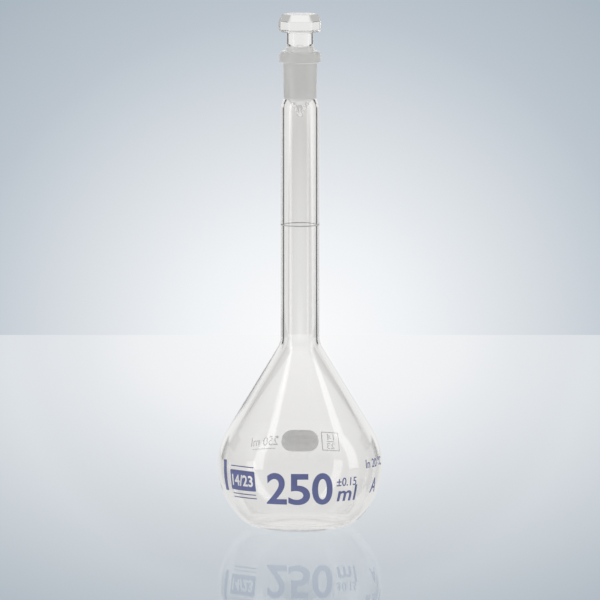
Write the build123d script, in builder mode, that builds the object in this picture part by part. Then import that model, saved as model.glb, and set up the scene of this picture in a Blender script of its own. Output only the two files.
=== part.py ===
"""Volumetric flask with a ground glass stopper.

The flask stands on its base ring at height zero, its axis is the Z axis and its
printed front faces -Y. All sizes are in millimetres.
"""

import os
from math import cos, radians, sin

from build123d import *

# ---- driving dimensions: blown body ----------------------------------------
bulb_diameter = 80.0
base_ring_diameter = 40.6        # outer edge of the ring that the flask stands on
punt_diameter = 31.0             # hollow inside that ring
punt_depth = 1.6
base_edge_radius = 11.2
lower_wall_angle = 45.9          # lean of the short straight run above the base edge
lower_belly_radius = 36.2
upper_belly_radius = 33.0
shoulder_angle = 31.3            # lean of the straight shoulder
neck_blend_radius = 10.0
neck_step = 1.45                 # the neck is this much wider than the foot of its socket, on the radius
neck_wall = 1.65
bulb_wall = 1.62
rim_height = 231.8
ring_mark_height = 147.3

# ---- driving dimensions: ground joint 14/23 --------------------------------
joint_large_bore = 14.5
joint_length = 23.0
joint_taper = 10.0               # 1 mm on the diameter for each 10 mm of length
joint_clearance = 0.03           # on the radius, between cone and socket
socket_base_wall = 1.85          # glass round the small end of the ground zone
socket_top_wall = 1.15           # glass just below the collar, counted from the large bore
collar_wall = 2.9                # glass round the mouth, counted from the large bore
collar_height = 5.3
collar_chamfer = 1.3
collar_undercut = 0.4            # slope under the collar
socket_shoulder_height = 3.4
bore_shoulder_slope = 3.6
mouth_chamfer = 0.35
socket_corner_radii = (2.5, 2.5, 0.4, 0.6, 0.5, 0.4)   # from the neck up to the rim

# ---- driving dimensions: stopper -------------------------------------------
head_across_flats = 18.4
head_height = 8.6
head_edge_radius = 2.0
head_bevel_height = 3.4          # each side leans in above this distance from the top
head_bevel_width = 1.8
head_soft_edge = 0.4
shank_inset = 0.8                # the shank is this much slimmer than the mouth, on the radius
shank_height = 9.4               # rim of the flask to the underside of the head
shank_flare_height = 2.6
shank_flare_radius = 1.2
shank_fillet = 0.8
tip_shoulder_height = 1.5
tip_shoulder_inset = 0.75        # from the small end of the joint, on the radius
tip_cone_height = 5.9
tip_nub_diameter = 2.9
tip_nub_height = 1.5
tip_corner_radii = (0.9, 0.6, 1.2, 0.5)                # from the nub up to the ground cone

# ---- driving dimensions: fired enamel --------------------------------------
enamel_thickness = 0.1
print_reach = 3.0                # depth that a print is cast over to reach the curved glass
ring_mark_width = 0.5
numeral_size = (10.3, 16.0)      # width and height of the large figures
numeral_stroke = 2.8
numeral_pitch = 11.3
numeral_rise = -7.5              # rises are measured along the glass from the widest line
unit_gap = 2.4                   # clear glass between the figures and what follows them
unit_rise = -10.3
unit_height, unit_stroke = 8.1, 1.5
tolerance_rise = -4.4
tolerance_height, tolerance_stroke = 3.9, 0.6
temperature_across, temperature_rise = 46.0, 3.0
temperature_height, temperature_stroke = 4.3, 0.55
class_across, class_rise = 45.0, -8.1
class_height, class_stroke = 7.4, 0.9
badge_across, badge_rise = -31.5, -4.5
badge_size = (16.7, 9.9)
badge_text_height, badge_text_stroke = 5.4, 1.0
badge_corner_radius = 0.6
badge_rule_length = 15.5
badge_rule_width = 0.5
badge_rule_gap = 1.9             # from the edge of the block to the middle of a rule
side_bar_across, side_bar_rise = -45.6, -3.1
side_bar_size = (3.2, 15.2)
field_rise = 7.2
field_size = (18.9, 11.0)
back_gap = 1.6                   # clear glass on each side of the field
back_text_rise = 7.6
back_text_height, back_text_stroke = 4.6, 0.6
back_rule_length = 13.0
back_rule_width = 0.4
back_rule_gap = 1.6
size_frame_side, size_frame_stroke = 9.6, 0.5
size_frame_text_height, size_frame_text_stroke = 3.2, 0.5

# ---- worked out from the driving dimensions --------------------------------
bulb_radius = bulb_diameter / 2
base_ring_radius = base_ring_diameter / 2
joint_large_radius = joint_large_bore / 2
joint_small_radius = joint_large_radius - joint_length / joint_taper / 2
socket_base_radius = joint_small_radius + socket_base_wall
socket_top_radius = joint_large_radius + socket_top_wall
neck_radius = socket_base_radius + neck_step
bore_radius = neck_radius - neck_wall
joint_base_height = rim_height - joint_length
bore_top_height = joint_base_height - bore_shoulder_slope - 10
lower_lean = radians(lower_wall_angle)
shoulder_lean = radians(shoulder_angle)

lower_wall_length = (
    bulb_radius
    - base_ring_radius
    - base_edge_radius * cos(lower_lean)
    - lower_belly_radius * (1 - cos(lower_lean))
) / sin(lower_lean)
equator_height = (
    base_edge_radius * (1 - sin(lower_lean))
    + lower_wall_length * cos(lower_lean)
    + lower_belly_radius * sin(lower_lean)
)


# ---- glass outlines --------------------------------------------------------
def blown_line(inset, end_radius):
    """Draw the blown surface from the axis under the bulb to the foot of the neck.

    inset moves the line into the glass, and end_radius is its radius at the neck.
    """
    punt = RadiusArc(
        (0, punt_depth + inset),
        (punt_diameter / 2, inset),
        (punt_diameter**2 / 4 + punt_depth**2) / (2 * punt_depth),
    )
    foot = Line(punt @ 1, (base_ring_radius, inset))
    edge = JernArc(foot @ 1, (1, 0), base_edge_radius - inset, 90 - lower_wall_angle)
    wall = PolarLine(edge @ 1, lower_wall_length, 90 - lower_wall_angle)
    low_belly = JernArc(wall @ 1, wall % 1, lower_belly_radius - inset, lower_wall_angle)
    high_belly = JernArc(low_belly @ 1, (0, 1), upper_belly_radius - inset, shoulder_angle)
    blend_radius = neck_blend_radius + inset
    blend_depth = blend_radius * (1 - cos(shoulder_lean))
    shoulder_length = ((high_belly @ 1).X - blend_depth - end_radius) / sin(shoulder_lean)
    shoulder = PolarLine(high_belly @ 1, shoulder_length, 90 + shoulder_angle)
    blend = JernArc(shoulder @ 1, shoulder % 1, blend_radius, -shoulder_angle)
    return blend @ 1


def outer_section(growth):
    """Half section of the flask's outside, filled to the axis and grown outwards by growth."""
    collar_radius = joint_large_radius + collar_wall + growth
    collar_foot = rim_height - collar_height
    with BuildSketch() as section:
        with BuildLine():
            neck_foot = blown_line(-growth, neck_radius + growth)
            FilletPolyline(
                neck_foot,
                (neck_radius + growth, joint_base_height - socket_shoulder_height),
                (socket_base_radius + growth, joint_base_height),
                (socket_top_radius + growth, collar_foot - collar_undercut),
                (collar_radius, collar_foot),
                (collar_radius, rim_height - collar_chamfer),
                (collar_radius - collar_chamfer, rim_height),
                (0, rim_height),
                radius=socket_corner_radii,
            )
            Line((0, rim_height), (0, punt_depth - growth))
        make_face()
    return section.sketch


def cavity_section(top_height):
    """Half section of the space inside the flask, from the bottom up to top_height in the neck."""
    with BuildSketch() as section:
        with BuildLine():
            neck_foot = blown_line(bulb_wall, bore_radius)
            Polyline(
                neck_foot,
                (bore_radius, top_height),
                (0, top_height),
                (0, punt_depth + bulb_wall),
            )
        make_face()
    return section.sketch


def mouth_section():
    """Half section of the bore from the top of the neck through the ground socket."""
    with BuildSketch() as section:
        with BuildLine():
            bore = FilletPolyline(
                (bore_radius, bore_top_height),
                (bore_radius, joint_base_height - bore_shoulder_slope),
                (joint_small_radius, joint_base_height),
                (joint_large_radius, rim_height),
                radius=[2.0, 0],
            )
            Polyline(
                bore @ 1,
                (0, rim_height),
                (0, bore_top_height),
                bore @ 0,
            )
        make_face()
    return section.sketch


# ---- flask body ------------------------------------------------------------
outside = outer_section(0)
inside = cavity_section(bore_top_height)
mouth = mouth_section()

with BuildPart() as flask_body:
    with BuildSketch(Plane.XZ):
        add(outside)
        add(inside, mode=Mode.SUBTRACT)
        add(mouth, mode=Mode.SUBTRACT)
    revolve(axis=Axis.Z)
    mouth_edge = flask_body.edges().filter_by(GeomType.CIRCLE).group_by(Axis.Z)[-1]
    chamfer(mouth_edge.sort_by(SortBy.RADIUS)[0], length=mouth_chamfer)
flask_body.part.label = "flask_body"

with BuildPart() as contents:
    with BuildSketch(Plane.XZ):
        add(cavity_section(ring_mark_height))
    revolve(axis=Axis.Z)
print(f"widest at {equator_height:.1f} mm, volume to the ring {contents.part.volume / 1000:.1f} ml")

# ---- stopper ---------------------------------------------------------------
cone_small_radius = joint_small_radius - joint_clearance
cone_large_radius = joint_large_radius - joint_clearance
shank_radius = joint_large_radius - shank_inset
head_base_height = rim_height + shank_height
head_circle_radius = head_across_flats / 2 / cos(radians(30))
tip_top_height = joint_base_height - tip_shoulder_height
nub_top_height = tip_top_height - tip_cone_height
nub_base_height = nub_top_height - tip_nub_height

with BuildPart() as stopper:
    with BuildSketch(Plane.XZ):
        with BuildLine():
            tip = FilletPolyline(
                (0, nub_base_height),
                (tip_nub_diameter / 2, nub_base_height),
                (tip_nub_diameter / 2, nub_top_height),
                (joint_small_radius - tip_shoulder_inset, tip_top_height),
                (cone_small_radius, joint_base_height),
                (cone_large_radius, rim_height),
                radius=tip_corner_radii,
            )
            shank = FilletPolyline(
                tip @ 1,
                (shank_radius, rim_height + shank_flare_height),
                (shank_radius, head_base_height),
                radius=shank_flare_radius,
            )
            Polyline(shank @ 1, (0, head_base_height), tip @ 0)
        make_face()
    revolve(axis=Axis.Z)
    with BuildSketch(Plane.XY.offset(head_base_height)):
        RegularPolygon(radius=head_circle_radius, side_count=6)
        fillet(vertices(), radius=head_edge_radius)
    extrude(amount=head_height)
    top_face = stopper.faces().sort_by(Axis.Z)[-1]
    chamfer(
        top_face.edges(),
        length=head_bevel_width,
        length2=head_bevel_height,
        reference=top_face,
    )
    head_base = stopper.faces().filter_by(Plane.XY).filter_by_position(
        Axis.Z, head_base_height - 0.01, head_base_height + 0.01
    )
    fillet(head_base[0].outer_wire().edges(), radius=head_soft_edge)
    fillet(head_base[0].inner_wires()[0].edges(), radius=shank_fillet)
stopper.part.label = "stopper"


# ---- fired enamel: where a print lies --------------------------------------
FRONT = -90
BACK = 90


def glass_plane(across, rise, facing):
    """Plane touching the bulb, facing out, at a place measured along the glass.

    rise is counted up from the widest line, across to the reader's right, and facing is
    FRONT or BACK, the direction from the axis to the middle of that side.
    """
    belly_radius = upper_belly_radius if rise > 0 else lower_belly_radius
    lean = rise / belly_radius
    radius = bulb_radius - belly_radius * (1 - cos(lean))
    height = equator_height + belly_radius * sin(lean)
    turn = radians(facing) + across / radius
    return Plane(
        origin=(radius * cos(turn), radius * sin(turn), height),
        x_dir=(-sin(turn), cos(turn), 0),
        z_dir=(cos(lean) * cos(turn), cos(lean) * sin(turn), sin(lean)),
    )


# ---- fired enamel: figures and letters as pen strokes ----------------------
RELATIVE_WIDTHS = {
    "1": 0.36, ".": 0.2, "l": 0.2, "I": 0.2, "/": 0.42, "°": 0.34, " ": 0.22,
    "m": 0.98, "n": 0.6, "A": 0.78, "C": 0.72, "±": 0.62,
}
DIGIT_WIDTH = 0.62
LETTER_GAP = 0.14
X_HEIGHT = 0.66                  # of small letters, as a share of the figures' height


def character_width(symbol, height):
    """Width of one character of a line of print."""
    return RELATIVE_WIDTHS.get(symbol, DIGIT_WIDTH) * height


def pen_strokes(symbol, a, b):
    """Middle lines of the pen strokes of one character, 2a wide and 2b high."""
    if symbol == "1":
        return [Polyline((-a, b * 0.55), (a, b), (a, -b))]
    if symbol == "2":
        bow = CenterArc((0, b - a), a, 172, -205)
        return [bow + Polyline(bow @ 1, (-a, -b), (a, -b))]
    if symbol == "3":
        return [
            CenterArc((0, b / 2), b / 2, 160, -250),
            CenterArc((0, -b / 2), b / 2, 90, -250),
        ]
    if symbol == "4":
        return [
            Polyline((a * 0.5, b), (-a, -b * 0.4), (a, -b * 0.4)),
            Line((a * 0.5, b), (a * 0.5, -b)),
        ]
    if symbol == "5":
        bow = CenterArc((0, a - b), a, 140, -290)
        return [Polyline((a * 0.85, b), (-a * 0.7, b), bow @ 0) + bow]
    if symbol == "A":
        return [
            Polyline((-a, -b), (0, b), (a, -b)),
            Line((-a * 0.6, -b * 0.25), (a * 0.6, -b * 0.25)),
        ]
    if symbol == "C":
        top = CenterArc((0, b - a), a, 35, 145)
        foot = CenterArc((0, a - b), a, 180, 145)
        return [top + Line(top @ 1, foot @ 0) + foot]
    if symbol == "m":
        return [Line((-a, b), (-a, -b)), arch(-a / 2, a / 2, b), arch(a / 2, a / 2, b)]
    if symbol == "n":
        return [Line((-a, b), (-a, -b)), arch(0, a, b)]
    if symbol == "±":
        return [
            Line((0, b), (0, -b * 0.5)),
            Line((-a, b * 0.25), (a, b * 0.25)),
            Line((-a, -b), (a, -b)),
        ]
    if symbol == "/":
        return [Line((-a, -b), (a, b))]
    return [Line((0, -b), (0, b))]


def arch(middle, radius, b):
    """Arch of a small letter, with the leg on its right."""
    bow = CenterArc((middle, b - radius), radius, 180, -180)
    return bow + Line(bow @ 1, (middle + radius, -b))


def character(symbol, width, height, stroke):
    """Sketch of one character, with the middle of its full height at the origin."""
    a = (width - stroke) / 2
    small_height = X_HEIGHT * height if symbol in "mn" else height
    strokes = pen_strokes(symbol, a, (small_height - stroke) / 2)
    drop = (height - small_height) / 2
    with BuildSketch() as sketch:
        if symbol == "0":
            SlotOverall(height, width, rotation=90)
            SlotOverall(height - 2 * stroke, width - 2 * stroke, rotation=90, mode=Mode.SUBTRACT)
        elif symbol == ".":
            with Locations((0, (stroke - height) / 2)):
                Rectangle(stroke, stroke)
        elif symbol == "°":
            with Locations((0, (height - width) / 2)):
                Circle(width / 2)
                Circle(width / 2 - stroke, mode=Mode.SUBTRACT)
        else:
            for line in strokes:
                trace(line, line_width=stroke)
    return Pos(0, -drop) * sketch.sketch


def text_width(text, height):
    """Length of a line of print from its first character to its last."""
    gaps = LETTER_GAP * height * (len(text) - 1)
    return gaps + sum(character_width(symbol, height) for symbol in text)


def line_of_print(text, height, stroke):
    """List of (distance from the middle of the line, sketch) for the text's characters."""
    place = -text_width(text, height) / 2
    line = []
    for symbol in text:
        width = character_width(symbol, height)
        if symbol != " ":
            line.append((place + width / 2, character(symbol, width, height, stroke)))
        place += width + LETTER_GAP * height
    return line


# ---- fired enamel: the prints ----------------------------------------------
with BuildPart() as enamel_skin:
    with BuildSketch(Plane.XZ):
        add(outer_section(enamel_thickness))
        add(outer_section(0), mode=Mode.SUBTRACT)
    revolve(axis=Axis.Z)


def fired_print(name, pieces):
    """Make a print from (across, rise, facing, sketch) pieces, laid on the glass."""
    with BuildPart() as enamel:
        for across, rise, facing, sketch in pieces:
            with BuildSketch(glass_plane(across, rise, facing)):
                add(sketch)
            extrude(amount=print_reach, both=True)
        add(enamel_skin.part, mode=Mode.INTERSECT)
    enamel.part.label = name
    return enamel.part


def text_pieces(text, across, rise, height, stroke, facing=FRONT):
    """Pieces of one line of print centred at a place on the glass."""
    return [
        (across + offset, rise, facing, sketch)
        for offset, sketch in line_of_print(text, height, stroke)
    ]


def rule(length, width):
    """Sketch of a thin printed rule."""
    with BuildSketch() as sketch:
        Rectangle(length, width)
    return sketch.sketch


def badge():
    """Plain block with the size of the ground joint left clear in it."""
    numbers = line_of_print("14/23", badge_text_height, badge_text_stroke)
    with BuildSketch() as sketch:
        RectangleRounded(*badge_size, badge_corner_radius)
        for offset, figure in numbers:
            with Locations((offset, 0)):
                add(figure, mode=Mode.SUBTRACT)
    return sketch.sketch


def size_frame():
    """Square frame that holds the two figures of the joint size, one above the other."""
    lines = [
        (size_frame_side / 4 - size_frame_stroke / 2, "14"),
        (-size_frame_side / 4 + size_frame_stroke / 2, "23"),
    ]
    figures = [
        Pos(offset, height) * figure
        for height, text in lines
        for offset, figure in line_of_print(text, size_frame_text_height, size_frame_text_stroke)
    ]
    with BuildSketch() as sketch:
        Rectangle(size_frame_side, size_frame_side)
        clear_side = size_frame_side - 2 * size_frame_stroke
        Rectangle(clear_side, clear_side, mode=Mode.SUBTRACT)
        Rectangle(clear_side / 2, size_frame_stroke)
        for figure in figures:
            add(figure)
    return sketch.sketch


with BuildPart() as ring_mark:
    with BuildSketch(Plane.XZ):
        with Locations((neck_radius + enamel_thickness / 2, ring_mark_height)):
            Rectangle(enamel_thickness, ring_mark_width)
    revolve(axis=Axis.Z)
ring_mark.part.label = "ring_mark"

numerals = [
    (numeral_pitch * place, numeral_rise, FRONT, character(symbol, *numeral_size, numeral_stroke))
    for place, symbol in ((-1, "2"), (0, "5"), (1, "0"))
]
with BuildSketch() as bar:
    Rectangle(*side_bar_size)
with BuildSketch() as field:
    SlotOverall(*field_size)

badge_rule = rule(badge_rule_length, badge_rule_width)
badge_top = badge_rise + badge_size[1] / 2
badge_foot = badge_rise - badge_size[1] / 2
badge_pieces = [
    (badge_across, badge_rise, FRONT, badge()),
    (badge_across, badge_top + badge_rule_gap, FRONT, badge_rule),
    (badge_across, badge_foot - badge_rule_gap, FRONT, badge_rule),
    (badge_across, badge_foot - 2 * badge_rule_gap, FRONT, badge_rule),
]

unit_edge = numeral_pitch + numeral_size[0] / 2 + unit_gap
unit_across = unit_edge + text_width("ml", unit_height) / 2
tolerance_across = unit_edge + text_width("±0.15", tolerance_height) / 2

back_edge = field_size[0] / 2 + back_gap
back_capacity_across = back_edge + text_width("250 ml", back_text_height) / 2
back_rule_rise = back_text_rise - back_text_height / 2 - back_rule_gap
back_capacity_pieces = text_pieces(
    "250 ml", back_capacity_across, back_text_rise, back_text_height, back_text_stroke, BACK
)
back_capacity_pieces.append(
    (back_capacity_across, back_rule_rise, BACK, rule(back_rule_length, back_rule_width))
)
size_frame_across = -back_edge - size_frame_side / 2

printed_pieces = {
    "capacity_numerals": numerals,
    "unit_letters": text_pieces("ml", unit_across, unit_rise, unit_height, unit_stroke),
    "tolerance_print": text_pieces(
        "±0.15", tolerance_across, tolerance_rise, tolerance_height, tolerance_stroke
    ),
    "temperature_print": text_pieces(
        "In 20 °C", temperature_across, temperature_rise, temperature_height, temperature_stroke
    ),
    "class_letter": text_pieces("A", class_across, class_rise, class_height, class_stroke),
    "joint_size_badge": badge_pieces,
    "side_bar": [(side_bar_across, side_bar_rise, FRONT, bar.sketch)],
    "marking_field": [(0, field_rise, BACK, field.sketch)],
    "back_capacity_print": back_capacity_pieces,
    "back_joint_size_print": [(size_frame_across, field_rise, BACK, size_frame())],
}
prints = [fired_print(name, pieces) for name, pieces in printed_pieces.items()]

# ---- write one file for each piece -----------------------------------------
os.makedirs("parts", exist_ok=True)
for piece in [flask_body.part, stopper.part, ring_mark.part, *prints]:
    export_step(piece, f"parts/{piece.label}.step")
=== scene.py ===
"""Glass and enamel looks for a volumetric flask with a ground stopper.

Everything is in metres in the shared frame: the flask stands at height zero, its axis
is the Z axis and its printed front faces -Y.
"""
from math import acos, cos, pi, radians, sin, sqrt, tan

import bpy
from bpy.props import FloatProperty, FloatVectorProperty, IntProperty, PointerProperty
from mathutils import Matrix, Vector
from mathutils.geometry import delaunay_2d_cdt


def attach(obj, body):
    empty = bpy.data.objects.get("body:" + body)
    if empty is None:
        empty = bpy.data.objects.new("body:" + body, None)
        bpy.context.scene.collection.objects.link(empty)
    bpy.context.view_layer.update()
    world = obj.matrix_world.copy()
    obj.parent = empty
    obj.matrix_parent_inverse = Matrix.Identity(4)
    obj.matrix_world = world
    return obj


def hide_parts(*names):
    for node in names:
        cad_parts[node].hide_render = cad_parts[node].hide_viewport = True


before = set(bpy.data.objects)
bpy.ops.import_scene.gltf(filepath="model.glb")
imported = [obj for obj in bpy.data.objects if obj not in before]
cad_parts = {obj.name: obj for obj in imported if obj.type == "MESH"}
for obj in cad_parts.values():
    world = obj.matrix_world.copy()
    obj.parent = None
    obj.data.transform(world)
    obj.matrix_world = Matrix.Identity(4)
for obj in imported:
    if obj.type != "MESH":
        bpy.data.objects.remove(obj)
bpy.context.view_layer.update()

bl_info = {
    "name": "Volumetric flask",
    "version": (1, 0, 0),
    "blender": (4, 5, 0),
    "location": "3D View > Sidebar > Flask",
    "description": "Builds the glass, stopper and enamel prints of a volumetric flask",
    "category": "Object",
}

MM = 0.001
SAME_POINT = 1e-4                # millimetres between points of an outline that count as one
SHARPEST_CORNER = 0.4            # keeps a bolder letter's sharp corners from running out
FRONT = -pi / 2
BACK = pi / 2
FLASK = "flask"
STOPPER = "stopper"


def length(name, description, millimetres):
    """A size in the panel, given here in millimetres and kept in metres."""
    return FloatProperty(
        name=name, description=description, default=millimetres * MM, unit="LENGTH", precision=4
    )


def colour(name, description, value):
    """A colour in the panel, as linear red, green and blue."""
    return FloatVectorProperty(
        name=name, description=description, default=value, subtype="COLOR", size=3, min=0, max=1
    )


def share(name, description, value):
    """A number from nought to one in the panel."""
    return FloatProperty(
        name=name, description=description, default=value, subtype="FACTOR", min=0, max=1
    )


# ---- sizes and colours -----------------------------------------------------
class FlaskSizes(bpy.types.PropertyGroup):
    """Sizes of the blown body, its neck and its ground socket."""

    bulb_radius: length("Bulb radius", "Half the width of the bulb", 40)
    ring_radius: length("Base ring radius", "Outer edge of the ring it stands on", 20.3)
    punt_radius: length("Punt radius", "Edge of the hollow under the base", 15.5)
    punt_depth: length("Punt depth", "Height of the hollow under the base", 1.6)
    base_bend: length("Base bend", "Bend from the base ring to the wall", 11.2)
    lower_bend: length("Lower belly bend", "Bend below the widest line", 36.2)
    upper_bend: length("Upper belly bend", "Bend above the widest line", 33)
    neck_bend: length("Neck bend", "Bend from the shoulder to the neck", 10)
    lower_lean: FloatProperty(
        name="Lower lean", description="Lean of the wall above the base bend",
        default=radians(45.9), unit="ROTATION",
    )
    shoulder_lean: FloatProperty(
        name="Shoulder lean", description="Lean of the straight shoulder",
        default=radians(31.3), unit="ROTATION",
    )
    wall: length("Bulb wall", "Thickness of the blown wall", 1.62)
    neck_radius: length("Neck radius", "Outside of the straight neck", 9.4)
    bore_radius: length("Bore radius", "Inside of the straight neck", 7.75)
    rim_height: length("Rim height", "Top of the collar", 231.8)
    joint_length: length("Joint length", "Height of the ground zone", 23)
    joint_top_radius: length("Joint top radius", "Ground bore at the mouth", 7.25)
    joint_foot_radius: length("Joint foot radius", "Ground bore at its foot", 6.1)
    socket_foot_radius: length("Socket foot radius", "Outside at the foot of the joint", 7.95)
    socket_top_radius: length("Socket top radius", "Outside under the collar", 8.4)
    collar_radius: length("Collar radius", "Outside of the collar", 10.15)
    collar_height: length("Collar height", "Height of the collar", 5.3)
    ring_mark_height: length("Ring mark height", "Middle of the capacity ring", 147.3)
    ring_mark_width: length("Ring mark width", "Width of the capacity ring", 0.5)
    sides: IntProperty(name="Sides", description="Steps round the axis", default=192, min=24)


class StopperSizes(bpy.types.PropertyGroup):
    """Sizes of the ground stopper."""

    gap: length("Joint gap", "Gap between the cone and its socket", 0.03)
    apothem: length("Head half width", "Half the width across the flats", 9.2)
    head_height: length("Head height", "Height of the six-sided head", 8.6)
    edge_bend: length("Head edge bend", "Rounding of the upright edges", 2.0)
    bevel_width: length("Bevel width", "How far the top leans in", 1.8)
    bevel_height: length("Bevel height", "Height of the leaning part", 3.4)
    shank_radius: length("Shank radius", "Plain shank under the head", 6.45)
    shank_height: length("Shank height", "Rim of the flask to the head", 9.4)
    tip_radius: length("Tip radius", "Top of the pointed end", 5.35)
    tip_height: length("Tip height", "Height of the pointed end", 5.9)
    nub_radius: length("Nub radius", "Small drop at the end", 1.45)
    nub_height: length("Nub height", "Height of the small drop", 1.5)


class EnamelSizes(bpy.types.PropertyGroup):
    """Thickness of the fired prints."""

    proud: length("Proud", "Height of a print above the glass", 0.05)
    sunk: length("Sunk", "Depth of a print in the glass", 0.02)
    fine: length("Mesh step", "Largest step of a print's mesh", 1.0)


class Finishes(bpy.types.PropertyGroup):
    """Colours and surface values of the glass and the enamels."""

    glass: colour("Glass", "Tint of the clear glass", (1.0, 0.997, 0.99))
    ground: colour("Ground glass", "Tint of the ground joint", (0.78, 0.78, 0.775))
    ground_roughness: share("Ground roughness", "Roughness of the ground joint", 0.8)
    blue: colour("Blue enamel", "Front prints", (0.165, 0.185, 0.40))
    grey: colour("Grey enamel", "Writing field and back prints", (0.9, 0.9, 0.9))
    ring: colour("Ring enamel", "Capacity ring", (0.58, 0.57, 0.56))


class Studio(bpy.types.PropertyGroup):
    """Camera, floor, backdrop and lights."""

    camera_distance: length("Camera distance", "From the base to the camera, level", 5951)
    camera_height: length("Camera height", "Height of the camera", 762.4)
    aim_height: length("Aim height", "Height that the camera looks at", 110.4)
    lens: FloatProperty(name="Lens", description="Focal length in millimetres", default=740)
    backdrop_distance: length("Backdrop distance", "From the axis to the backdrop", 830)
    floor_gloss: share("Floor gloss", "Share of mirror reflection in the floor", 0.2)
    room_light: FloatProperty(
        name="Room light", description="Even light of the room around the set", default=0.42
    )
    top_light: FloatProperty(
        name="Top light", description="Light added straight above the set", default=0.1
    )


# ---- node trees ------------------------------------------------------------
class Wire:
    """A node's output that grows Math nodes when it is used in an expression."""

    def __init__(self, bench, socket):
        self.bench = bench
        self.socket = socket

    def math(self, operation, *values):
        return self.bench.add("ShaderNodeMath", {"operation": operation}, dict(enumerate(values)))

    def __add__(self, other):
        return self.math("ADD", self, other)

    def __sub__(self, other):
        return self.math("SUBTRACT", self, other)

    def __rsub__(self, other):
        return self.math("SUBTRACT", other, self)

    def __mul__(self, other):
        return self.math("MULTIPLY", self, other)

    def __truediv__(self, other):
        return self.math("DIVIDE", self, other)

    def __gt__(self, other):
        return self.math("GREATER_THAN", self, other)

    def __lt__(self, other):
        return self.math("LESS_THAN", self, other)

    __radd__ = __add__
    __rmul__ = __mul__

    def sin(self):
        return self.math("SINE", self)

    def cos(self):
        return self.math("COSINE", self)

    def root(self):
        return self.math("SQRT", self)


class Bench:
    """Adds nodes to one tree."""

    def __init__(self, tree):
        self.tree = tree

    def add(self, kind, settings=None, sockets=None, out=0):
        """Add a node: its settings first, then its sockets' values or links. Gives one output."""
        node = self.tree.nodes.new(kind)
        for name, value in (settings or {}).items():
            if name == "stops":
                self.set_stops(node.color_ramp, value)
            else:
                setattr(node, name, value)
        for name, value in (sockets or {}).items():
            if isinstance(value, Wire):
                self.tree.links.new(value.socket, node.inputs[name])
            else:
                node.inputs[name].default_value = value
        return Wire(self, node.outputs[out]) if node.outputs else node

    def set_stops(self, ramp, stops):
        while len(ramp.elements) < len(stops):
            ramp.elements.new(1.0)
        for element, (place, value) in zip(ramp.elements, stops):
            element.position = place
            element.color = (*value, 1.0)

    def parts(self, vector):
        """The X, Y and Z of a vector."""
        x = self.add("ShaderNodeSeparateXYZ", None, {0: vector})
        return [Wire(self, socket) for socket in x.socket.node.outputs]


def new_material(name):
    """An empty material and its bench."""
    material = bpy.data.materials.new(name)
    material.use_nodes = True
    material.node_tree.nodes.clear()
    return material, Bench(material.node_tree)


def srgb(*values):
    """Linear colour of a 0 to 255 display colour."""
    return tuple(
        v / 255 / 12.92 if v / 255 <= 0.04045 else ((v / 255 + 0.055) / 1.055) ** 2.4
        for v in values
    )


def new_group(name, inputs):
    """A Geometry Nodes tree with a Geometry input, the named inputs and a Geometry output."""
    tree = bpy.data.node_groups.new(name, "GeometryNodeTree")
    tree.interface.new_socket("Geometry", in_out="OUTPUT", socket_type="NodeSocketGeometry")
    tree.interface.new_socket("Geometry", in_out="INPUT", socket_type="NodeSocketGeometry")
    for socket_name, kind in inputs.items():
        tree.interface.new_socket(socket_name, in_out="INPUT", socket_type=kind)
    bench = Bench(tree)
    source = bench.add("NodeGroupInput").socket.node
    wires = {socket.name: Wire(bench, socket) for socket in source.outputs if socket.name}
    return tree, bench, wires


def finish_group(bench, geometry, material):
    """End a tree in one realised mesh with its material."""
    realised = bench.add("GeometryNodeRealizeInstances", None, {0: geometry})
    painted = bench.add(
        "GeometryNodeSetMaterial", None, {"Geometry": realised, "Material": material}
    )
    bench.add("NodeGroupOutput", None, {0: painted})


def solid_from_group(name, mesh, tree, values):
    """Run a tree on a mesh with the given inputs and keep the result as a plain mesh object."""
    source = bpy.data.objects.new(name + "_source", mesh)
    bpy.context.scene.collection.objects.link(source)
    modifier = source.modifiers.new(name, "NODES")
    modifier.node_group = tree
    for item in tree.interface.items_tree:
        if item.in_out == "INPUT" and item.name in values:
            modifier[item.identifier] = values[item.name]
    graph = bpy.context.evaluated_depsgraph_get()
    result = bpy.data.meshes.new_from_object(source.evaluated_get(graph), depsgraph=graph)
    result.name = name
    bpy.data.objects.remove(source)
    piece = bpy.data.objects.new(name, result)
    bpy.context.scene.collection.objects.link(piece)
    if not result.polygons:
        raise RuntimeError(f"{name} came out empty")
    return piece


def hand_over(piece, node, body):
    """Put a finished piece in the place of its CAD node."""
    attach(piece, body)
    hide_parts(node)


# ---- outlines --------------------------------------------------------------
GUARD = 0.3 * MM      # short step beside each bend, so that straight glass stays straight
BEND_STEP = radians(5)


class Outline:
    """A line of runs and bends, as (radius, height) points."""

    def __init__(self, start, heading):
        self.points = [Vector(start)]
        self.heading = heading

    def ahead(self, distance):
        direction = Vector((cos(self.heading), sin(self.heading)))
        self.points.append(self.points[-1] + direction * distance)

    def run(self, distance):
        """Go straight on, with a short step at each end."""
        for step in (GUARD, distance - 2 * GUARD, GUARD):
            self.ahead(step)

    def bend(self, radius, angle):
        """Turn left by an angle on an arc, or right if the angle is negative."""
        steps = max(2, round(abs(angle) / BEND_STEP))
        turn = angle / steps
        for _ in range(steps):
            self.heading += turn / 2
            self.ahead(2 * radius * sin(abs(turn) / 2))
            self.heading += turn / 2


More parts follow.
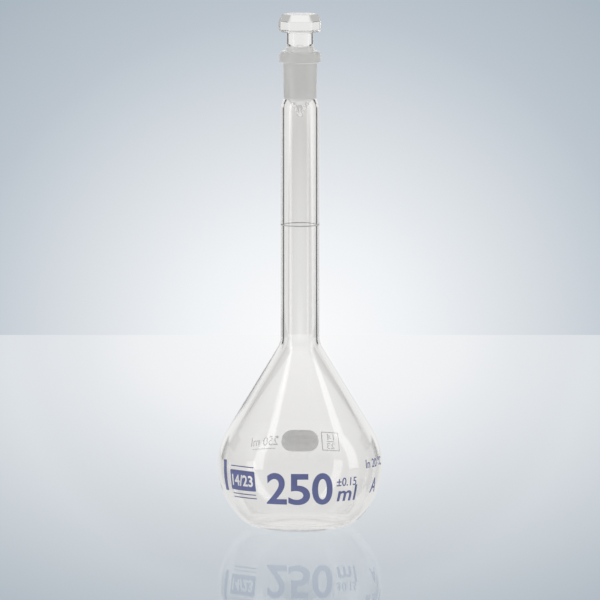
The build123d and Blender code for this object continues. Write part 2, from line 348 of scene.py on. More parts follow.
def rounded(corners, radii):
    """Polyline through the corners, with an arc of the given radius at each inner one."""
    corners = [Vector(corner) for corner in corners]
    line = [corners[0]]
    for before, corner, after, radius in zip(corners, corners[1:], corners[2:], radii):
        back = (before - corner).normalized()
        on = (after - corner).normalized()
        half = acos(max(-1, min(1, back.dot(on)))) / 2
        reach = radius / tan(half)
        guard = min(GUARD, reach)
        centre = corner + (back + on).normalized() * (radius / sin(half))
        first = corner + back * reach - centre
        last = corner + on * reach - centre
        sweep = pi - 2 * half
        side = 1 if first.x * last.y - first.y * last.x > 0 else -1
        steps = max(2, round(sweep / BEND_STEP / 2))
        line.append(corner + back * (reach + guard))
        for step in range(steps + 1):
            angle = side * sweep * step / steps
            spoke = Vector((
                first.x * cos(angle) - first.y * sin(angle),
                first.x * sin(angle) + first.y * cos(angle),
            ))
            line.append(centre + spoke)
        line.append(corner + on * (reach + guard))
    line.append(corners[-1])
    return line


def blown_line(s, inset, end_radius):
    """Outline from under the bulb to the foot of the neck, moved into the glass by inset."""
    ball = (s.punt_radius**2 + s.punt_depth**2) / (2 * s.punt_depth)
    punt = []
    for step in range(7):
        radius = s.punt_radius * step / 6
        drop = ball - sqrt(ball**2 - radius**2)
        punt.append(Vector((radius, s.punt_depth - drop + inset)))
    lower_wall = (
        s.bulb_radius - s.ring_radius
        - s.base_bend * cos(s.lower_lean)
        - s.lower_bend * (1 - cos(s.lower_lean))
    ) / sin(s.lower_lean)
    line = Outline((s.ring_radius, inset), 0)
    line.bend(s.base_bend - inset, pi / 2 - s.lower_lean)
    line.run(lower_wall)
    line.bend(s.lower_bend - inset, s.lower_lean)
    line.bend(s.upper_bend - inset, s.shoulder_lean)
    neck_bend = s.neck_bend + inset
    reach = line.points[-1].x - neck_bend * (1 - cos(s.shoulder_lean)) - end_radius
    line.run(reach / sin(s.shoulder_lean))
    line.bend(neck_bend, -s.shoulder_lean)
    return punt + line.points


def equator_height(s):
    """Height of the bulb's widest line."""
    lower_wall = (
        s.bulb_radius - s.ring_radius
        - s.base_bend * cos(s.lower_lean)
        - s.lower_bend * (1 - cos(s.lower_lean))
    ) / sin(s.lower_lean)
    return (
        s.base_bend * (1 - sin(s.lower_lean))
        + lower_wall * cos(s.lower_lean)
        + s.lower_bend * sin(s.lower_lean)
    )


def flask_outline(s):
    """Closed wall of the flask, from the axis under it, over the rim and back to the axis."""
    joint_foot = s.rim_height - s.joint_length
    collar_foot = s.rim_height - s.collar_height
    outside = blown_line(s, 0, s.neck_radius)
    socket = rounded(
        [
            outside[-1] + Vector((0, GUARD)),
            (s.neck_radius, joint_foot - 3.4 * MM),
            (s.socket_foot_radius, joint_foot),
            (s.socket_top_radius, collar_foot - 0.4 * MM),
            (s.collar_radius, collar_foot),
            (s.collar_radius, s.rim_height - 1.3 * MM),
            (s.collar_radius - 1.3 * MM, s.rim_height),
            (s.joint_top_radius + 0.35 * MM, s.rim_height),
            (s.joint_top_radius, s.rim_height - 0.35 * MM),
            (s.joint_foot_radius, joint_foot),
            (s.bore_radius, joint_foot - 3.6 * MM),
            (s.bore_radius, joint_foot - 13 * MM),
        ],
        [r * MM for r in (2.5, 2.5, 0.4, 0.6, 0.5, 0.4, 0.12, 0.12, 0.3, 2.0)],
    )
    inside = blown_line(s, s.wall, s.bore_radius)
    inside.append(inside[-1] + Vector((0, GUARD)))
    return outside + socket + inside[::-1]


def outline_mesh(name, points, closed=False):
    """A mesh of edges only, in the XY plane."""
    count = len(points)
    edges = [(i, (i + 1) % count) for i in range(count if closed else count - 1)]
    mesh = bpy.data.meshes.new(name)
    mesh.from_pydata([(p[0], p[1], 0) for p in points], edges, [])
    return mesh


def lathe_group():
    """Geometry Nodes tree that turns an outline into a closed body round the Z axis."""
    tree, bench, wires = new_group(
        "turned_glass", {"Sides": "NodeSocketInt", "Material": "NodeSocketMaterial"}
    )
    outline = bench.add("GeometryNodeMeshToCurve", None, {0: wires["Geometry"]})
    path = bench.add(
        "GeometryNodeCurvePrimitiveCircle", {"mode": "RADIUS"},
        {"Resolution": wires["Sides"], "Radius": AXIS_GAP},
    )
    body = bench.add("GeometryNodeCurveToMesh", None, {0: path, "Profile Curve": outline})
    joined = bench.add("GeometryNodeMergeByDistance", None, {0: body, "Distance": AXIS_GAP / 4})
    outward = bench.add("GeometryNodeFlipFaces", None, {0: joined})
    smooth = bench.add("GeometryNodeSetShadeSmooth", None, {0: outward})
    finish_group(bench, smooth, wires["Material"])
    return tree


AXIS_GAP = 0.004 * MM


def turned(name, points, sides, material, closed=False):
    """A body of revolution from an outline."""
    shifted = [(-(p[0] + AXIS_GAP), -p[1]) for p in points]
    tree = bpy.data.node_groups.get("turned_glass") or lathe_group()
    return solid_from_group(
        name, outline_mesh(name, shifted, closed), tree, {"Sides": sides, "Material": material}
    )


# ---- finishes --------------------------------------------------------------
def glass_material(name, finishes, ground_from, ground_to, ground_within):
    """Clear glass that is ground matt between two heights, inside a radius."""
    material, bench = new_material(name)
    place = bench.add("ShaderNodeTexCoord", out="Object")
    x, y, z = bench.parts(place)
    band = (z > ground_from) * (z < ground_to)
    ground = band * ((x * x + y * y).root() < ground_within)
    swirl = bench.add(
        "ShaderNodeTexNoise", None, {"Vector": place, "Scale": 45.0, "Detail": 1.0}
    )
    grit_place = bench.add(
        "ShaderNodeMapping", None, {"Vector": place, "Scale": (1.0, 1.0, 2.5)}
    )
    grit = bench.add(
        "ShaderNodeTexNoise", None, {"Vector": grit_place, "Scale": 2600.0, "Detail": 3.0}
    )
    waves = bench.add(
        "ShaderNodeBump", None, {"Strength": 0.14, "Distance": 0.0004, "Height": swirl}
    )
    skin = bench.add(
        "ShaderNodeBump", None,
        {"Strength": 0.5, "Distance": 0.00006, "Height": grit * ground, "Normal": waves},
    )
    tint = bench.add(
        "ShaderNodeMix", {"data_type": "RGBA"},
        {0: band, "A": (*finishes.glass, 1.0), "B": (*finishes.ground, 1.0)}, out="Result",
    )
    haze = 0.3 * (band - ground)
    roughness = haze + ground * (finishes.ground_roughness + 0.12 * (grit - 0.5))
    shader = bench.add(
        "ShaderNodeBsdfPrincipled", None,
        {
            "Base Color": tint,
            "Roughness": roughness,
            "IOR": 1.473,
            "Transmission Weight": 1.0,
            "Normal": skin,
        },
    )
    bench.add("ShaderNodeOutputMaterial", None, {"Surface": shader})
    return material


def enamel_material(name, base, roughness, mottle):
    """Fired enamel: slightly uneven colour and sheen, with a fine grain."""
    material, bench = new_material(name)
    place = bench.add("ShaderNodeTexCoord", out="Object")
    cloud = bench.add("ShaderNodeTexNoise", None, {"Vector": place, "Scale": 260.0, "Detail": 4.0})
    grain = bench.add("ShaderNodeTexNoise", None, {"Vector": place, "Scale": 2400.0, "Detail": 2.0})
    darker = tuple(channel * (1 - mottle) for channel in base)
    lighter = tuple(min(1, channel * (1 + mottle)) for channel in base)
    tint = bench.add(
        "ShaderNodeValToRGB", {"stops": [(0.35, darker), (0.65, lighter)]}, {"Fac": cloud}
    )
    skin = bench.add(
        "ShaderNodeBump", None, {"Strength": 0.35, "Distance": 0.00003, "Height": grain}
    )
    shader = bench.add(
        "ShaderNodeBsdfPrincipled", None,
        {
            "Base Color": tint,
            "Roughness": roughness + 0.15 * (grain - 0.5),
            "Normal": skin,
        },
    )
    bench.add("ShaderNodeOutputMaterial", None, {"Surface": shader})
    return material


# ---- prints ----------------------------------------------------------------
def box_loop(across, rise, width, height, corner=0.0):
    """Outline of a rectangle with round corners, all in millimetres."""
    corner = max(corner, 0.02)
    loop = []
    for turn, (side, end) in enumerate(((1, 1), (-1, 1), (-1, -1), (1, -1))):
        for step in range(7):
            angle = (turn + step / 6) * pi / 2
            loop.append((
                across + side * (width / 2 - corner) + corner * cos(angle),
                rise + end * (height / 2 - corner) + corner * sin(angle),
            ))
    return loop


def letter_loops(text, left, right, foot, top, bolder=0.0):
    """Outlines of a line of characters that fills a box, in millimetres.

    bolder moves every outline out by that much, inside the same box.
    """
    words = bpy.data.curves.new("words", "FONT")
    words.body = text
    words.fill_mode = "NONE"
    words.resolution_u = 8
    holder = bpy.data.objects.new("words", words)
    bpy.context.scene.collection.objects.link(holder)
    graph = bpy.context.evaluated_depsgraph_get()
    mesh = bpy.data.meshes.new_from_object(holder.evaluated_get(graph), depsgraph=graph)
    places = [vertex.co.copy() for vertex in mesh.vertices]
    beside = {}
    for edge in mesh.edges:
        a, b = edge.vertices
        beside.setdefault(a, []).append(b)
        beside.setdefault(b, []).append(a)
    bpy.data.objects.remove(holder)
    bpy.data.curves.remove(words)
    bpy.data.meshes.remove(mesh)
    low = Vector((min(p.x for p in places), min(p.y for p in places)))
    high = Vector((max(p.x for p in places), max(p.y for p in places)))
    wide = (right - left - 2 * bolder) / (high.x - low.x)
    tall = (top - foot - 2 * bolder) / (high.y - low.y)
    loops, seen = [], set()
    for start in sorted(beside):
        loop, here = [], start
        while here is not None and here not in seen:
            seen.add(here)
            p = places[here]
            loop.append((
                left + bolder + (p.x - low.x) * wide,
                foot + bolder + (p.y - low.y) * tall,
            ))
            here = next((n for n in beside[here] if n not in seen), None)
        if len(loop) > 2:
            loops.append(loop)
    if bolder:
        depths = [
            sum(inside(other, *loop[0]) for other in loops if other is not loop)
            for loop in loops
        ]
        loops = [
            moved_out(loop, -bolder if depth % 2 else bolder)
            for loop, depth in zip(loops, depths)
        ]
    return loops


def moved_out(loop, distance):
    """A loop with every point moved out of it by a distance."""
    loop = [
        p for p, q in zip(loop, loop[1:] + loop[:1])
        if abs(p[0] - q[0]) + abs(p[1] - q[1]) > SAME_POINT
    ]
    area = sum(p[0] * q[1] - q[0] * p[1] for p, q in zip(loop, loop[1:] + loop[:1]))
    side = distance if area > 0 else -distance
    moved = []
    for before, here, after in zip(loop[-1:] + loop[:-1], loop, loop[1:] + loop[:1]):
        a = Vector((here[0] - before[0], here[1] - before[1])).normalized()
        b = Vector((after[0] - here[0], after[1] - here[1])).normalized()
        out = Vector((a.y + b.y, -a.x - b.x))
        out *= side / max(SHARPEST_CORNER, 1 + a.dot(b))
        moved.append((here[0] + out.x, here[1] + out.y))
    return moved


def inside(loop, x, y):
    """True if a point lies inside a loop."""
    found = False
    ax, ay = loop[-1]
    for bx, by in loop:
        if (ay > y) != (by > y) and x < ax + (y - ay) / (by - ay) * (bx - ax):
            found = not found
        ax, ay = bx, by
    return found


def flat_print(name, loops, step):
    """Flat mesh between the loops, where a loop inside another cuts a hole."""
    points, edges = [], []
    for loop in loops:
        first = len(points)
        points += [Vector(p) for p in loop]
        edges += [(first + i, first + (i + 1) % len(loop)) for i in range(len(loop))]
    xs = [p.x for p in points]
    ys = [p.y for p in points]
    for column in range(int((max(xs) - min(xs)) / step) + 1):
        for row in range(int((max(ys) - min(ys)) / step) + 1):
            points.append(Vector((min(xs) + (column + 0.5) * step, min(ys) + (row + 0.5) * step)))
    corners, _, faces, *_ = delaunay_2d_cdt(points, edges, [], 0, 1e-5)
    kept = []
    for face in faces:
        x = sum(corners[i].x for i in face) / len(face)
        y = sum(corners[i].y for i in face) / len(face)
        if sum(inside(loop, x, y) for loop in loops) % 2:
            kept.append(face)
    used = sorted({i for face in kept for i in face})
    index = {old: new for new, old in enumerate(used)}
    mesh = bpy.data.meshes.new(name)
    mesh.from_pydata(
        [(corners[i].x * MM, corners[i].y * MM, 0) for i in used],
        [],
        [[index[i] for i in face] for face in kept],
    )
    return mesh


def print_group():
    """Geometry Nodes tree that lays a flat print on the bulb and gives it a thickness."""
    tree, bench, wires = new_group(
        "print_on_bulb",
        {
            "Facing": "NodeSocketFloat",
            "Bulb Radius": "NodeSocketFloat",
            "Lower Bend": "NodeSocketFloat",
            "Upper Bend": "NodeSocketFloat",
            "Widest Height": "NodeSocketFloat",
            "Sunk": "NodeSocketFloat",
            "Thickness": "NodeSocketFloat",
            "Material": "NodeSocketMaterial",
        },
    )
    across, rise, _ = bench.parts(bench.add("GeometryNodeInputPosition"))
    upper = rise > 0.0
    bend = wires["Lower Bend"] + upper * (wires["Upper Bend"] - wires["Lower Bend"])
    lean = rise / bend
    radius = wires["Bulb Radius"] - bend * (1 - lean.cos())
    height = wires["Widest Height"] + bend * lean.sin()
    turn = wires["Facing"] + across / radius
    out = radius - wires["Sunk"] * lean.cos()
    place = bench.add(
        "ShaderNodeCombineXYZ", None,
        {0: out * turn.cos(), 1: out * turn.sin(), 2: height - wires["Sunk"] * lean.sin()},
    )
    laid = bench.add("GeometryNodeSetPosition", None, {0: wires["Geometry"], "Position": place})
    raised = bench.add(
        "GeometryNodeExtrudeMesh", {"mode": "FACES"},
        {0: laid, "Offset Scale": wires["Thickness"], "Individual": False},
    )
    top = Wire(bench, raised.socket.node.outputs["Top"])
    smooth = bench.add("GeometryNodeSetShadeSmooth", None, {0: raised, "Selection": top})
    under = bench.add("GeometryNodeFlipFaces", None, {0: laid})
    both = bench.add("GeometryNodeJoinGeometry", None, {0: smooth})
    tree.links.new(under.socket, both.socket.node.inputs[0])
    closed = bench.add("GeometryNodeMergeByDistance", None, {0: both, "Distance": 0.001 * MM})
    finish_group(bench, closed, wires["Material"])
    return tree


def row_turn(s, across, rise):
    """Angle round the axis of a place on the bulb, in millimetres along the glass."""
    bend = (s.upper_bend if rise > 0 else s.lower_bend) / MM
    radius = s.bulb_radius / MM - bend * (1 - cos(rise / bend))
    return across / radius


def lay_print(name, loops, facing, across, rise, material):
    """Make one print: the loops are centred on a place that lies across and up the glass."""
    s = bpy.context.scene.flask_sizes
    e = bpy.context.scene.enamel_sizes
    tree = bpy.data.node_groups.get("print_on_bulb") or print_group()
    piece = solid_from_group(
        name + "_enamel", flat_print(name, loops, e.fine / MM), tree,
        {
            "Facing": facing + row_turn(s, across, rise),
            "Bulb Radius": s.bulb_radius,
            "Lower Bend": s.lower_bend,
            "Upper Bend": s.upper_bend,
            "Widest Height": equator_height(s),
            "Sunk": e.sunk,
            "Thickness": e.sunk + e.proud,
            "Material": material,
        },
    )
    hand_over(piece, name, FLASK)
    return piece


# ---- operators -------------------------------------------------------------
class FLASK_OT_stage(bpy.types.Operator):
    """Set up the camera, floor, backdrop, lights and room"""

    bl_idname = "flask.stage"
    bl_label = "Stage"

    def execute(self, context):
        scene = context.scene
        studio = scene.flask_studio
        self.place_camera(scene, studio)
        self.lay_floor(scene, studio)
        self.hang_backdrop(scene, studio)
        self.stand_cards(scene)
        self.place_lights(scene)
        self.light_room(scene, studio)
        scene.view_settings.view_transform = "Standard"
        scene.cycles.use_denoising = True
        scene.cycles.max_bounces = 40
        scene.cycles.transmission_bounces = 40
        scene.cycles.glossy_bounces = 24
        scene.cycles.transparent_max_bounces = 24
        return {"FINISHED"}

    def place_camera(self, scene, studio):
        camera = bpy.data.objects.new("camera", bpy.data.cameras.new("camera"))
        scene.collection.objects.link(camera)
        camera.location = (0, -studio.camera_distance, studio.camera_height)
        gaze = Vector((0, 0, studio.aim_height)) - camera.location
        camera.rotation_euler = gaze.to_track_quat("-Z", "Y").to_euler()
        camera.data.lens = studio.lens
        camera.data.clip_end = CLIP_END
        scene.camera = camera

    def lay_floor(self, scene, studio):
        """The floor that the camera sees, and a neutral one that the glass sees. Both are lit only
        by their own emission, whose colour is painted light: a bright pool at the foot of the
        backdrop, with painted shade further out.
        """
        floors = (("floor", FLOOR_PAINTED_LIGHT, 0), ("white_floor", WHITE_FLOOR_PAINTED_LIGHT, 0.2 * MM))
        for name, painted_light_tones, drop in floors:
            material, bench = new_material(name)
            x, y, _ = bench.parts(bench.add("ShaderNodeTexCoord", out="Object"))
            away = studio.backdrop_distance - y
            reach = (away * away + x * x * FLOOR_SIDE_FALL).root()
            # painted light and shade: the emission colour is a bright pool at the foot of the
            # backdrop that fades to painted shade further away and to the sides
            glow = bench.add(
                "ShaderNodeValToRGB",
                {"stops": [(place / FLOOR_REACH, srgb(*tone)) for place, tone in painted_light_tones]},
                {"Fac": reach / FLOOR_REACH},
            )
            light = bench.add("ShaderNodeEmission", None, {"Color": glow})
            mirror = bench.add(
                "ShaderNodeBsdfGlossy", None, {"Color": (1, 1, 1, 1), "Roughness": 0.03}
            )
            mixed = bench.add(
                "ShaderNodeMixShader", None, {0: studio.floor_gloss, 1: light, 2: mirror}
            )
            bench.add("ShaderNodeOutputMaterial", None, {"Surface": mixed})
            half = FLOOR_HALF_WIDTH
            corners = [(-half, -half), (half, -half), (half, half), (-half, half)]
            sheet = self.add_stage(scene, name, [(x, y, -drop) for x, y in corners], material)
            self.show(sheet, to_camera=name == "floor")

    def hang_backdrop(self, scene, studio):
        """The backdrop that the camera sees, and a neutral one that the glass sees. Both are lit
        only by their own emission, whose colour is painted light: a bright pool low in the middle,
        with painted shade further out.
        """
        y, half, top = studio.backdrop_distance, 1.0, 1.4
        corners = [(-half, y, 0), (half, y, 0), (half, y, top), (-half, y, top)]
        for name, painted_light_tones in (("backdrop", BACKDROP_PAINTED_LIGHT), ("white_backdrop", WHITE_BACKDROP_PAINTED_LIGHT)):
            material, bench = self.one_sided(name)
            x, _, z = bench.parts(bench.add("ShaderNodeTexCoord", out="Object"))
            reach = (x * x * BACKDROP_SIDE_FALL + z * z).root()
            # painted light and shade: the emission colour is a bright pool at the foot of the
            # middle that fades to painted shade upwards and to the sides
            glow = bench.add(
                "ShaderNodeValToRGB",
                {"stops": [(place, srgb(*tone)) for place, tone in painted_light_tones]},
                {"Fac": reach},
            )
            bench.tree.links.new(glow.socket, bench.tree.nodes["Emission"].inputs["Color"])
            sheet = self.add_stage(scene, name, corners, material)
            self.show(sheet, to_camera=name == "backdrop")

    def stand_cards(self, scene):
        """Dark cards behind the flask, whose images draw the edges of the glass."""
        material, _ = self.one_sided("dark_card")
        for side in (-1, 1):
            for first, last, foot, top in CARDS:
                ends = []
                for angle in (first, last)[::side]:
                    turn = radians(angle)
                    ends.append((side * sin(turn) * CARD_DISTANCE, cos(turn) * CARD_DISTANCE))
                (ax, ay), (bx, by) = ends
                corners = [(ax, ay, foot), (bx, by, foot), (bx, by, top), (ax, ay, top)]
                sheet = self.add_stage(scene, "dark_card", corners, material)
                self.show(sheet, to_camera=False)

    def one_sided(self, name):
        """Emission on the front, nothing on the back."""
        material, bench = new_material(name)
        light = bench.add("ShaderNodeEmission", None, {"Color": (0.02, 0.02, 0.02, 1)})
        clear = bench.add("ShaderNodeBsdfTransparent")
        behind = bench.add("ShaderNodeNewGeometry", out="Backfacing")
        mixed = bench.add("ShaderNodeMixShader", None, {0: behind, 1: light, 2: clear})
        bench.add("ShaderNodeOutputMaterial", None, {"Surface": mixed})
        return material, bench

    def show(self, sheet, to_camera):
        sheet.visible_camera = to_camera
        sheet.visible_glossy = not to_camera
        sheet.visible_transmission = not to_camera
        sheet.visible_diffuse = to_camera

    def add_stage(self, scene, name, corners, material):
        mesh = bpy.data.meshes.new(name)
        mesh.from_pydata(corners, [], [(0, 1, 2, 3)])
        mesh.materials.append(material)
        sheet = bpy.data.objects.new(name, mesh)
        scene.collection.objects.link(sheet)
        sheet.visible_shadow = False
        return sheet

    def place_lights(self, scene):
        for name, azimuth, width, glow in SOFTBOXES:
            data = bpy.data.lights.new(name, "AREA")
            data.shape = "RECTANGLE"
            data.size = width
            data.size_y = 1.0
            data.energy = glow * pi * width * data.size_y
            lamp = bpy.data.objects.new(name, data)
            scene.collection.objects.link(lamp)
            turn = radians(azimuth)
            lamp.location = (sin(turn) * LAMP_DISTANCE, -cos(turn) * LAMP_DISTANCE, 0.51)
            gaze = Vector((-sin(turn), cos(turn), 0))
            lamp.rotation_euler = gaze.to_track_quat("-Z", "Y").to_euler()
            lamp.visible_camera = False

    def light_room(self, scene, studio):
        """A pale tent around the set: its light changes with the direction round the axis."""
        world = bpy.data.worlds.new("room")
        world.use_nodes = True
        world.node_tree.nodes.clear()
        bench = Bench(world.node_tree)
        x, y, z = bench.parts(bench.add("ShaderNodeTexCoord"))
        azimuth = (0.0 - y).math("ARCTAN2", x, 0.0 - y) * (180 / pi)
        light = studio.room_light + bench.add(
            "ShaderNodeMapRange", {"interpolation_type": "SMOOTHSTEP"},
            {"Value": z, "From Min": 0.3, "From Max": 0.95, "To Max": studio.top_light},
        )
        for middle, half_width, soft, glow in STRIPS:
            off = (azimuth - middle).math("ABSOLUTE", azimuth - middle)
            light = light + bench.add(
                "ShaderNodeMapRange", {"interpolation_type": "SMOOTHSTEP"},
                {
                    "Value": off, "From Min": half_width + soft, "From Max": half_width - soft,
                    "To Max": glow,
                },
            )
        shade = bench.add(
            "ShaderNodeBackground", None, {"Color": ROOM_COLOUR, "Strength": light}
        )
        bench.add("ShaderNodeOutputWorld", None, {"Surface": shade})
        scene.world = world


CLIP_END = 40
FLOOR_HALF_WIDTH = 9.0
FLOOR_REACH = 4.0                # how far the floor's painted light and shade run
FLOOR_SIDE_FALL = 21.0           # the floor's painted light and shade change this much faster to the sides
BACKDROP_SIDE_FALL = 0.9         # the backdrop's painted light and shade change a little slower to the sides
# painted light and shade by distance from the foot of the backdrop, as red, green and blue out of
# 255
FLOOR_PAINTED_LIGHT = (
    (0.0, (253, 253, 254)), (0.4, (243, 245, 248)), (0.65, (226, 231, 236)),
    (0.96, (197, 205, 212)), (1.26, (162, 175, 186)), (1.5, (158, 170, 180)),
    (2.4, (196, 203, 209)), (4.0, (210, 214, 218)),
)
BACKDROP_PAINTED_LIGHT = (
    (0.0, (251, 251, 252)), (0.055, (240, 243, 246)), (0.118, (217, 222, 227)),
    (0.18, (189, 198, 207)), (0.25, (169, 181, 191)), (0.31, (214, 216, 218)),
    (0.8, (236, 236, 236)),
)
WHITE_FLOOR_PAINTED_LIGHT = (
    (0.0, (249, 249, 249)), (0.4, (236, 236, 236)), (0.65, (229, 229, 229)),
    (0.96, (218, 218, 218)), (1.6, (206, 206, 206)), (4.0, (196, 196, 196)),
)
WHITE_BACKDROP_PAINTED_LIGHT = (
    (0.0, (240, 240, 240)), (0.03, (229, 229, 229)), (0.055, (226, 226, 226)),
    (0.118, (208, 207, 206)), (0.138, (216, 215, 214)), (0.152, (234, 234, 234)),
    (0.31, (238, 238, 238)), (0.8, (238, 238, 238)),
)
CARD_DISTANCE = 0.7
# cards: first and last angle each side of straight behind, foot, top
CARDS = (
    (34, 50, 0.0, 0.16),         # the lines down the neck
    (48, 70, 0.16, 0.34),        # the sides of the shank and the head
    (26, 48, 0.34, 0.9),         # for glass that turns the view upwards
)
ROOM_COLOUR = (1, 0.995, 0.985, 1)
LAMP_DISTANCE = 0.6
# softboxes: degrees round from the camera side, width, glow
SOFTBOXES = (
    ("left_softbox", -60, 0.16, 1.55),
    ("right_softbox", 80, 0.18, 1.4),
)
# strips of light in the tent: degrees round from the camera side, half width, softness, glow
STRIPS = (
    (-60, 8, 7, 0.45),
    (80, 9, 7, 0.45),
    (-138, 4, 3, -0.35),
    (138, 4, 3, -0.35),
)


class FLASK_OT_body(bpy.types.Operator):
    """Turn the glass body with its neck, ground socket and collar"""

    bl_idname = "flask.body"
    bl_label = "Glass body"

    def execute(self, context):
        s = context.scene.flask_sizes
        foot = s.rim_height - s.joint_length
        material = glass_material(
            "clear_glass_with_ground_socket", context.scene.flask_finishes,
            foot, s.rim_height - 0.3 * MM, s.joint_top_radius + 0.2 * MM,
        )
        piece = turned("flask_body_glass", flask_outline(s), s.sides, material)
        piece.visible_shadow = False
        hand_over(piece, "flask_body", FLASK)
        return {"FINISHED"}


class FLASK_OT_stopper(bpy.types.Operator):
    """Build the ground stopper with its six-sided head"""

    bl_idname = "flask.stopper"
    bl_label = "Stopper"

    def execute(self, context):
        s = context.scene.flask_sizes
        t = context.scene.stopper_sizes
        rings = self.round_rings(s, t) + self.head_rings(s, t)
        foot = s.rim_height - s.joint_length
        material = glass_material(
            "clear_glass_with_ground_cone", context.scene.flask_finishes,
            foot, s.rim_height, s.joint_top_radius + 1.0 * MM,
        )
        piece = self.stack(rings, material)
        piece.visible_shadow = False
        hand_over(piece, "stopper", STOPPER)
        return {"FINISHED"}

    def directions(self):
        """Angles round the axis, closer together at the head's upright edges."""
        angles = []
        for side in range(6):
            middle = side * pi / 3 + pi / 6
            spread = [radians(a) for a in (-29, -28, -27, -26, -25, -24.3, -23.6)]
            spread += [radians(a) for a in range(-21, 22, 3)]
            spread += [radians(a) for a in (23.6, 24.3, 25, 26, 27, 28, 29, 30)]
            angles += [(middle + a, a) for a in spread]
        return angles

    def circle(self, radius, height):
        return [(radius * cos(a), radius * sin(a), height) for a, _ in self.directions()]

    def hexagon(self, t, inset, height):
        apothem = t.apothem - inset
        corner = max(t.edge_bend - inset, 0.25 * MM)
        half_flat = (apothem - corner) * tan(pi / 6)
        centre = (apothem - corner) / cos(pi / 6)
        ring = []
        for angle, from_middle in self.directions():
            if apothem * tan(abs(from_middle)) <= half_flat:
                radius = apothem / cos(from_middle)
            else:
                off = pi / 6 - abs(from_middle)
                radius = centre * cos(off) + sqrt(corner**2 - (centre * sin(off)) ** 2)
            ring.append((radius * cos(angle), radius * sin(angle), height))
        return ring

    def round_rings(self, s, t):
        """Rings from the nub up to the underside of the head."""
        foot = s.rim_height - s.joint_length
        tip_top = foot - 1.5 * MM
        nub_top = tip_top - t.tip_height
        under = s.rim_height + t.shank_height
        line = rounded(
            [
                (0, nub_top - t.nub_height),
                (t.nub_radius, nub_top - t.nub_height),
                (t.nub_radius, nub_top),
                (t.tip_radius, tip_top),
                (s.joint_foot_radius - t.gap, foot),
                (s.joint_top_radius - t.gap, s.rim_height),
                (t.shank_radius, s.rim_height + 2.6 * MM),
                (t.shank_radius, under),
                (t.apothem - 1.5 * MM, under),
            ],
            [r * MM for r in (0.9, 0.6, 1.2, 0.5, 0.3, 1.2, 0.8)],
        )
        return [self.circle(p.x, p.y) if p.x > 1e-9 else Vector((0, 0, p.y)) for p in line[:-1]]

    def head_rings(self, s, t):
        """Rings over the six-sided head, up to the middle of its top."""
        under = s.rim_height + t.shank_height
        top = under + t.head_height
        line = rounded(
            [
                (-1.2 * MM, under),
                (0, under),
                (0, top - t.bevel_height),
                (-t.bevel_width, top),
                (-t.bevel_width - 1.2 * MM, top),
            ],
            [r * MM for r in (0.4, 0.5, 0.4)],
        )
        rings = [self.hexagon(t, -p.x, p.y) for p in line]
        rings.append(self.hexagon(t, 0.7 * t.apothem, top))
        return rings + [Vector((0, 0, top))]

    def stack(self, rings, material):
        """Close a stack of rings into one solid mesh."""
        places, faces = [], []
        below = None
        for ring in rings:
            first = len(places)
            if isinstance(ring, Vector):
                places.append(tuple(ring))
                here = [first]
            else:
                places += ring
                here = list(range(first, first + len(ring)))
            if below:
                count = max(len(here), len(below))
                for i in range(count):
                    j = (i + 1) % count
                    corners = [
                        below[i % len(below)], below[j % len(below)],
                        here[j % len(here)], here[i % len(here)],
                    ]
                    faces.append(list(dict.fromkeys(corners)))
            below = here
        mesh = bpy.data.meshes.new("stopper_glass")
        mesh.from_pydata(places, [], faces)
        mesh.materials.append(material)
        mesh.shade_smooth()
        piece = bpy.data.objects.new("stopper_glass", mesh)
        bpy.context.scene.collection.objects.link(piece)
        return piece


class FLASK_OT_ring_mark(bpy.types.Operator):
    """Fire the thin capacity ring on the neck"""

    bl_idname = "flask.ring_mark"
    bl_label = "Capacity ring"

    def execute(self, context):
        s = context.scene.flask_sizes
        e = context.scene.enamel_sizes
        half = s.ring_mark_width / 2
        inner, outer = s.neck_radius - e.sunk, s.neck_radius + e.proud
        section = [
            (inner, s.ring_mark_height - half),
            (outer - 0.03 * MM, s.ring_mark_height - half),
            (outer, s.ring_mark_height - 0.4 * half),
            (outer, s.ring_mark_height + 0.4 * half),
            (outer - 0.03 * MM, s.ring_mark_height + half),
            (inner, s.ring_mark_height + half),
        ]
        material = enamel_material("ring_enamel", context.scene.flask_finishes.ring, 0.4, 0.15)
        piece = turned("ring_mark_enamel", section, s.sides, material, closed=True)
        hand_over(piece, "ring_mark", FLASK)
        return {"FINISHED"}


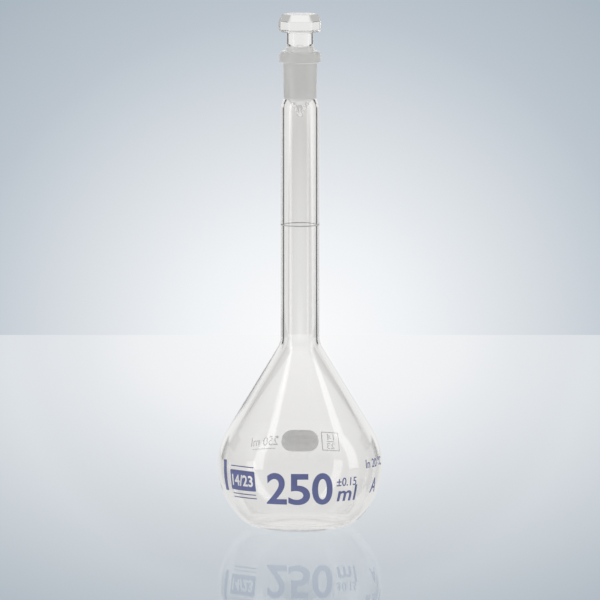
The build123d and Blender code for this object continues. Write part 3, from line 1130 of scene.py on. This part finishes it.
class FLASK_OT_front_prints(bpy.types.Operator):
    """Lay the blue prints on the front of the bulb"""

    bl_idname = "flask.front_prints"
    bl_label = "Front prints"

    def execute(self, context):
        blue = enamel_material("blue_enamel", context.scene.flask_finishes.blue, 0.38, 0.06)

        def lay(name, loops, across, rise):
            lay_print(name, loops, FRONT, across, rise, blue)

        figures = letter_loops("2", -16.6, -6.35, -15.6, 0.5, 0.42)
        figures += letter_loops("5", -5.65, 4.9, -15.8, 0.2, 0.42)
        figures += letter_loops("0", 5.85, 16.2, -15.8, 0.5, 0.42)
        lay("capacity_numerals", figures, 0, -7.7)
        units = letter_loops("m", -4.9, 3.0, -14.4, -8.9, 0.2)
        units += box_outline(5.3, -10.3, 1.35, 8.1)
        lay("unit_letters", units, 24.2, -10.3)
        lay("tolerance_print", letter_loops("±0.15", -5.8, 5.8, -6.5, -2.3, 0.05), 24.3, -4.4)
        lay("temperature_print", letter_loops("In 20 °C", -8.9, 8.9, 0.9, 5.4, 0.05), 46, 3)
        lay("class_letter", letter_loops("A", -2.9, 2.9, -11.8, -4.4, 0.08), 45, -8.1)
        badge = [box_loop(0, -4.5, 16.7, 9.9, 0.6)]
        badge += letter_loops("14/23", -7.1, 7.1, -7.3, -1.7, 0.2)
        badge.append(box_loop(0, 2.35, 15.5, 0.5))
        badge.append(box_loop(0, -11.35, 15.5, 0.5))
        badge.append(box_loop(0, -13.25, 15.5, 0.5))
        lay("joint_size_badge", badge, -31.5, -4.5)
        lay("side_bar", [box_loop(0, -3.1, 3.2, 15.2, 0.3)], -45.6, -3.1)
        return {"FINISHED"}


def box_outline(across, rise, width, height):
    """One rectangle as a list of loops."""
    return [box_loop(across, rise, width, height)]


class FLASK_OT_back_prints(bpy.types.Operator):
    """Lay the grey writing field and the small prints on the back of the bulb"""

    bl_idname = "flask.back_prints"
    bl_label = "Back prints"

    def execute(self, context):
        grey = enamel_material("grey_enamel", context.scene.flask_finishes.grey, 0.7, 0.05)

        def lay(name, loops, across, rise):
            lay_print(name, loops, BACK, across, rise, grey)

        lay("marking_field", [box_loop(0, 7.2, 18.9, 11.0, 5.45)], 0, 7.2)
        words = letter_loops("250 ml", -7.7, 7.7, 5.3, 9.9, 0.03)
        words += box_outline(0, 3.7, 13.0, 0.4)
        lay("back_capacity_print", words, 18.8, 7.2)
        panel = [box_loop(0, 7.2, 9.6, 9.6, 0.2), box_loop(0, 7.2, 8.6, 8.6, 0.1)]
        panel += letter_loops("14", -2.0, 2.0, 7.9, 11.0, 0.03)
        panel += letter_loops("23", -2.2, 2.2, 3.4, 6.5, 0.03)
        panel.append(box_loop(0, 7.2, 4.3, 0.5))
        lay("back_joint_size_print", panel, -15.9, 7.2)
        return {"FINISHED"}


class FLASK_PT_panel(bpy.types.Panel):
    """Sizes, finishes and steps of the flask"""

    bl_idname = "FLASK_PT_panel"
    bl_label = "Volumetric flask"
    bl_space_type = "VIEW_3D"
    bl_region_type = "UI"
    bl_category = "Flask"

    def draw(self, context):
        for attribute, group in SETTINGS.items():
            box = self.layout.box()
            box.label(text=group.__doc__)
            for name in group.__annotations__:
                box.prop(getattr(context.scene, attribute), name)
        for operator in STEPS:
            self.layout.operator(operator.bl_idname)


SETTINGS = {
    "flask_sizes": FlaskSizes,
    "stopper_sizes": StopperSizes,
    "enamel_sizes": EnamelSizes,
    "flask_finishes": Finishes,
    "flask_studio": Studio,
}
STEPS = (
    FLASK_OT_stage,
    FLASK_OT_body,
    FLASK_OT_stopper,
    FLASK_OT_ring_mark,
    FLASK_OT_front_prints,
    FLASK_OT_back_prints,
)


def register():
    for group in (*SETTINGS.values(), *STEPS, FLASK_PT_panel):
        bpy.utils.register_class(group)
    for attribute, group in SETTINGS.items():
        setattr(bpy.types.Scene, attribute, PointerProperty(type=group))


def unregister():
    for attribute in SETTINGS:
        delattr(bpy.types.Scene, attribute)
    for group in reversed((*SETTINGS.values(), *STEPS, FLASK_PT_panel)):
        bpy.utils.unregister_class(group)


def main():
    """Build everything in order."""
    register()
    bpy.ops.flask.stage()
    bpy.ops.flask.body()
    bpy.ops.flask.stopper()
    bpy.ops.flask.ring_mark()
    bpy.ops.flask.front_prints()
    bpy.ops.flask.back_prints()


if __name__ == "__main__":
    main()
